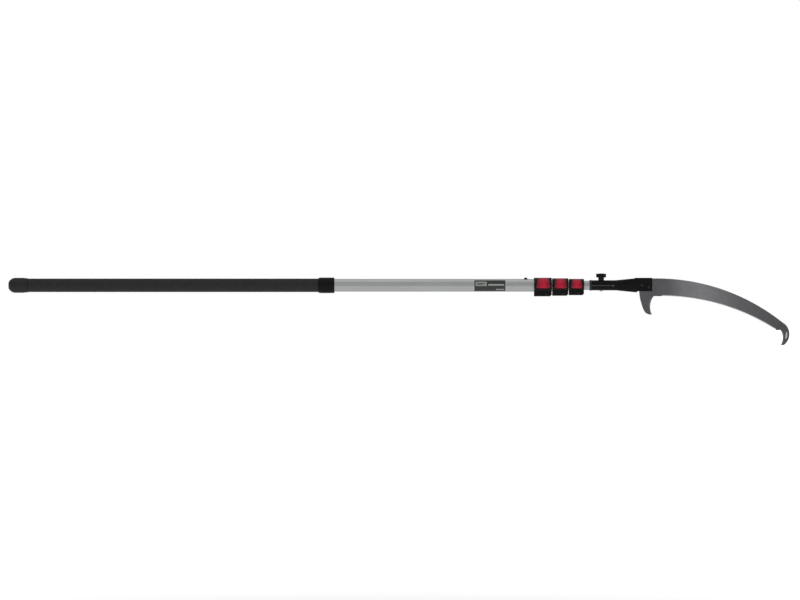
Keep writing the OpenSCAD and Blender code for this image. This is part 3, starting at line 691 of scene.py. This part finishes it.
class BladePlan:
    """The blade's outline in (x, z), from the frame and the same radii as the CAD blade."""

    def __init__(self):
        low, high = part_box("blade")
        self.half = (high.y - low.y) / 2
        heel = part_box("head_socket")[1].x
        self.block = heel - 41 * MM
        self.top = high.z
        self.under = self.top - 55.6 * MM
        self.hook_r = 41.8 * MM
        self.end = high.x - self.hook_r
        self.spine_r = 632 * MM
        self.tooth_r = 663 * MM
        self.spine_c = Vector((heel + 14 * MM, self.top - self.spine_r))
        self.tooth_c = Vector((heel + 28 * MM, self.under - self.tooth_r))
        back_end = self.spine_c.y + math.sqrt(self.spine_r ** 2 - (self.end - self.spine_c.x) ** 2)
        teeth_end = self.tooth_c.y + math.sqrt(self.tooth_r ** 2 - (self.end - self.tooth_c.x) ** 2)
        self.hook_c = Vector((self.end, back_end - 52.1 * MM))
        self.bite_c = self.hook_c + Vector((-23.3, -11)) * MM
        self.bite_r = 44 * MM
        self.shelf = teeth_end + 0.3 * MM
        self.hook_low = self.hook_c.y - 34.3 * MM
        self.hollow_c = Vector((self.block + 90.4 * MM, -68 * MM))
        self.hollow_r = 56 * MM
        self.sickle_low = -92.3 * MM
        self.pitch = 4.7 * MM / self.tooth_r
        self.depth = 3.2 * MM
        self.teeth_stop = math.asin((self.end - self.tooth_c.x) / self.tooth_r)
        self.hollow_angles = [math.pi - math.asin((z - self.hollow_c.y) / self.hollow_r)
                              for z in (self.sickle_low, self.under)]
        self.bite_angles = [math.asin((z - self.bite_c.y) / self.bite_r) for z in (self.shelf, self.hook_low)]

    def tooth_spot(self, angle, radius):
        return self.tooth_c + Vector((math.sin(angle), math.cos(angle))) * radius

    def teeth(self):
        """(point, kind) along the toothed edge: tips that lean to alternate sides, and roots."""
        first = math.radians(0.2)
        count = int((self.teeth_stop - self.pitch - first) / self.pitch) + 1
        made = []
        for k in range(count):
            angle = first + k * self.pitch
            made.append((self.tooth_spot(angle, self.tooth_r), f"tip_{k % 2}"))
            made.append((self.tooth_spot(angle + 0.34 * self.pitch, self.tooth_r + self.depth), "root"))
            made.append((self.tooth_spot(angle + 0.92 * self.pitch, self.tooth_r), f"tip_{(k + 1) % 2}"))
        return made

    def spine_crossing(self):
        """Where the back's arc meets the hook's outer arc."""
        gap = self.hook_c - self.spine_c
        share = (self.spine_r ** 2 - self.hook_r ** 2 + gap.length ** 2) / (2 * gap.length)
        rise = math.sqrt(self.spine_r ** 2 - share ** 2)
        ahead = gap.normalized()
        return self.spine_c + ahead * share + Vector((-ahead.y, ahead.x)) * rise

    def outline(self):
        """The outline, counter-clockwise as the camera sees it, as (point, kind), and its named corners."""
        tang_x, tang_z = self.block - 40 * MM, 11 * MM
        sickle_back = [(0, -18.5), (1.2, -30), (3, -42), (8, -60.5),
                       (12.5, -73.5), (17, -82), (21.5, -87), (30, -91)]
        tip = arc_points(self.hollow_c, self.hollow_r, *self.hollow_angles, 24)
        back = [Vector((self.block + x * MM, z * MM)) for x, z in sickle_back] + [tip[0]]
        points = [(Vector((tang_x, -tang_z)), "plain"), (Vector((self.block, -tang_z)), "plain")]
        points += [(p, "plain") for p in smooth_through(back, 4)]
        corners = {"sickle_tip": len(points) - 1}
        points += [(p, "sickle") for p in tip[1:-1]]
        points.append((tip[-1], "plain"))
        corners["sickle_top"] = len(points) - 1
        points.append((self.tooth_spot(0, self.tooth_r), "plain"))
        corners["teeth_start"] = len(points) - 1
        points += self.teeth()
        points.append((self.tooth_spot(self.teeth_stop, self.tooth_r), "plain"))
        corners["teeth_end"] = len(points) - 1
        bite = arc_points(self.bite_c, self.bite_r, *self.bite_angles, 26)
        points.append((bite[0], "plain"))
        corners["bite_top"] = len(points) - 1
        points += [(p, "hook") for p in bite[1:-1]]
        points.append((bite[-1], "plain"))
        corners["bite_low"] = len(points) - 1
        cross = self.spine_crossing()
        low_angle = math.asin((self.hook_low - self.hook_c.y) / self.hook_r)
        top_angle = math.atan2(cross.y - self.hook_c.y, cross.x - self.hook_c.x)
        points += [(p, "plain") for p in arc_points(self.hook_c, self.hook_r, low_angle, top_angle, 30)]
        corners["spine_end"] = len(points) - 1
        start = math.atan2(cross.y - self.spine_c.y, cross.x - self.spine_c.x)
        points += [(p, "spine") for p in arc_points(self.spine_c, self.spine_r, start, math.pi / 2, 72)[1:-1]]
        points.append((self.spine_c + Vector((0, self.spine_r)), "plain"))
        corners["spine_start"] = len(points) - 1
        tang = [(self.block, self.top), (self.block, tang_z), (tang_x, tang_z)]
        points += [(Vector(p), "plain") for p in tang]
        return points, corners

    def inner_lines(self):
        """Lines on the blade's face where the ground bevels end: (kind, points, corner, corner)."""
        tooth_angles = (math.pi / 2 - self.pitch, math.pi / 2 - self.teeth_stop + self.pitch)
        start = math.atan2(*(self.spine_crossing() - self.spine_c).yx)
        spine_angles = (start + 0.002, math.pi / 2 - 0.002)
        return [
            ("face", arc_points(self.tooth_c, self.tooth_r + self.depth + 1.2 * MM, *tooth_angles, 90),
             "teeth_start", "teeth_end"),
            ("face", offset_arc(self.hollow_c, self.hollow_r, 4.2 * MM, *self.hollow_angles, 24),
             "sickle_tip", "sickle_top"),
            ("face", offset_arc(self.bite_c, self.bite_r, 3.4 * MM, *self.bite_angles, 26),
             "bite_top", "bite_low"),
            ("face", arc_points(self.spine_c, self.spine_r - 1.1 * MM, *spine_angles, 72),
             "spine_end", "spine_start"),
        ]

    def groove(self):
        """A lens-shaped hollow ground in the hook's face: its rim and its middle line."""
        angles = (math.radians(-27), math.radians(12))
        middle = self.hook_r - 9.2 * MM
        outer = offset_arc(self.hook_c, middle, 2.3 * MM, *angles, 14)
        inner = offset_arc(self.hook_c, middle, -2.3 * MM, *angles, 14)
        ends = [arc_points(self.hook_c, middle, angle, angle, 1)[0] for angle in angles]
        rim = [ends[0]] + outer + [ends[1]] + inner[::-1]
        return rim, arc_points(self.hook_c, middle, angles[0] + 0.06, angles[1] - 0.06, 12)

    def bolt_holes(self):
        return [Vector((self.block + 9 * MM, 0.3 * MM)), Vector((self.block + 30 * MM, -6 * MM))]


def make_blade(materials):
    """One flat plate with alternately ground teeth, ground sickle and hook, and a broken back edge."""
    plan = BladePlan()
    outline, corners = plan.outline()
    points = [p for p, _ in outline]
    kinds = [k for _, k in outline]
    edges = [(k, (k + 1) % len(points)) for k in range(len(points))]

    def add_line(kind, line, closed=False):
        first = len(points)
        points.extend(line)
        kinds.extend([kind] * len(line))
        edges.extend((first + k, first + k + 1) for k in range(len(line) - 1))
        if closed:
            edges.append((first + len(line) - 1, first))
        return first

    for kind, line, start, stop in plan.inner_lines():
        first = add_line(kind, line)
        edges.extend([(corners[start], first), (first + len(line) - 1, corners[stop])])
    rim, middle = plan.groove()
    add_line("face", rim, closed=True)
    add_line("groove", middle)
    bolt_r = 2.5 * MM
    for centre in plan.bolt_holes():
        add_line("plain", arc_points(centre, bolt_r, 0, 2 * math.pi * 31 / 32, 31), closed=True)

    made = geometry.delaunay_2d_cdt(points, edges, [list(range(len(outline)))], 1, 1e-7)
    verts, faces, origins = made[0], made[2], made[3]
    front = {"tip_0": -0.35, "tip_1": 0.9, "sickle": 0.12, "hook": 0.12, "spine": 0.7, "groove": 0.4}
    back = dict(front, tip_0=0.9, tip_1=-0.35)
    kind_of = [kinds[o[0]] if o else "plain" for o in origins]
    bm = bmesh.new()
    near = [bm.verts.new((v.x, -plan.half * front.get(k, 1), v.y)) for v, k in zip(verts, kind_of)]
    far = [bm.verts.new((v.x, plan.half * back.get(k, 1), v.y)) for v, k in zip(verts, kind_of)]
    ground_kinds = {"tip_0", "tip_1", "root", "sickle", "hook"}
    kept = set()
    for face in faces:
        centre = sum((verts[k] for k in face), Vector((0, 0))) / len(face)
        if any((centre - hole).length < bolt_r for hole in plan.bolt_holes()):
            continue
        around = {kind_of[k] for k in face}
        ground = 2 if "groove" in around else int(bool(around & ground_kinds))
        bm.faces.new([near[k] for k in face]).material_index = ground
        bm.faces.new([far[k] for k in reversed(face)]).material_index = ground
        kept.update(zip(face, list(face[1:]) + [face[0]]))
    for start, stop in kept:
        if (stop, start) not in kept:
            side = bm.faces.new((near[stop], near[start], far[start], far[stop]))
            side.material_index = int(kind_of[start] in ground_kinds and kind_of[stop] in ground_kinds)
    finishes = [materials[name] for name in ("blade_steel", "ground_edge", "polished_groove_painted_glint")]
    new_piece("blade_ground", bm, "blade", finishes, sharp=8)


# ---------------------------------------------------------------- moulded and turned parts

WORN = {"black_plastic": "worn_black", "coated_steel": "worn_black", "red_plastic": "worn_red"}


def refined(node, materials, edge):
    """The CAD node's own shape with its sharp edges rounded, for parts whose shape is right already."""
    bm = bmesh.new()
    bm.from_mesh(frame["nodes"][node].data)
    bmesh.ops.remove_doubles(bm, verts=bm.verts, dist=0.002 * MM)
    bmesh.ops.dissolve_limit(bm, angle_limit=math.radians(0.6), verts=bm.verts, edges=bm.edges)
    slot = NODE_SLOT[node]
    piece = new_piece(node + "_finished", bm, node, [materials[slot]], sharp=30)
    if slot in WORN:
        piece.data.materials.append(materials[WORN[slot]])
    modifier = piece.modifiers.new("rounded_edges", "BEVEL")
    modifier.width = edge
    modifier.segments = 2
    modifier.limit_method = "ANGLE"
    modifier.angle_limit = math.radians(35)
    modifier.harden_normals = False
    modifier.use_clamp_overlap = True
    modifier.material = len(piece.data.materials) - 1
    apply_modifiers(piece)
    piece.data.set_sharp_from_angle(angle=math.radians(30))


# nodes that have a piece of their own above or below; the rest are refined
REBUILT = {
    "base_tube", "tube_2", "tube_3", "tube_4", "grip_sleeve", "grip_collar", "end_cap", "label_plate",
    "blade", "button_spring", "snap_spring_2", "snap_spring_3", "snap_spring_4",
}


def make_small_parts(materials):
    for node in sorted(NODE_BODY):
        if node in REBUILT:
            continue
        if node.endswith("_collar") or node in ("knob", "head_socket"):
            refined(node, materials, edge=0.5 * MM)
        elif node.endswith("_lever"):
            refined(node, materials, edge=0.6 * MM)
        else:
            refined(node, materials, edge=0.2 * MM)


def coil_spring(node, materials):
    """A wound wire spring, built at the length of the node's box."""
    low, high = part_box(node)
    gap = 0.02 * MM
    length = high.z - low.z - 2 * gap
    wire = min(0.4 * MM, length / 14)
    radius = (high.x - low.x) / 2 - wire
    centre = Vector(((low.x + high.x) / 2, (low.y + high.y) / 2, low.z + gap + wire))
    turns = round(length / (4.5 * wire))
    per_turn, sides = 28, 8
    bm = bmesh.new()
    rings = []
    for k in range(turns * per_turn + 1):
        angle = 2 * math.pi * k / per_turn
        outward = Vector((math.cos(angle), math.sin(angle), 0))
        middle = centre + outward * radius + Vector((0, 0, (length - 2 * wire) * k / (turns * per_turn)))
        around = [2 * math.pi * j / sides for j in range(sides)]
        rings.append([bm.verts.new(middle + outward * wire * math.cos(a) + Vector((0, 0, wire * math.sin(a))))
                      for a in around])
    bridge_rings(bm, rings, closed=False)
    bm.faces.new(rings[0])
    bm.faces.new(rings[-1])
    spring = new_piece(node + "_coil", bm, node, [materials["spring_steel"]], sharp=60)
    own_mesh(spring)


def make_springs(materials):
    for joint in frame["record"]["behaviour"]["joints"]:
        for held in joint.get("deforming_nodes", []):
            coil_spring(held["node"], materials)


make_camera()
make_studio()
finishes = make_materials()
make_tubes(finishes)
make_grip(finishes)
make_grip_collar(finishes)
make_cap(finishes)
make_label(finishes)
make_blade(finishes)
make_small_parts(finishes)
make_springs(finishes)
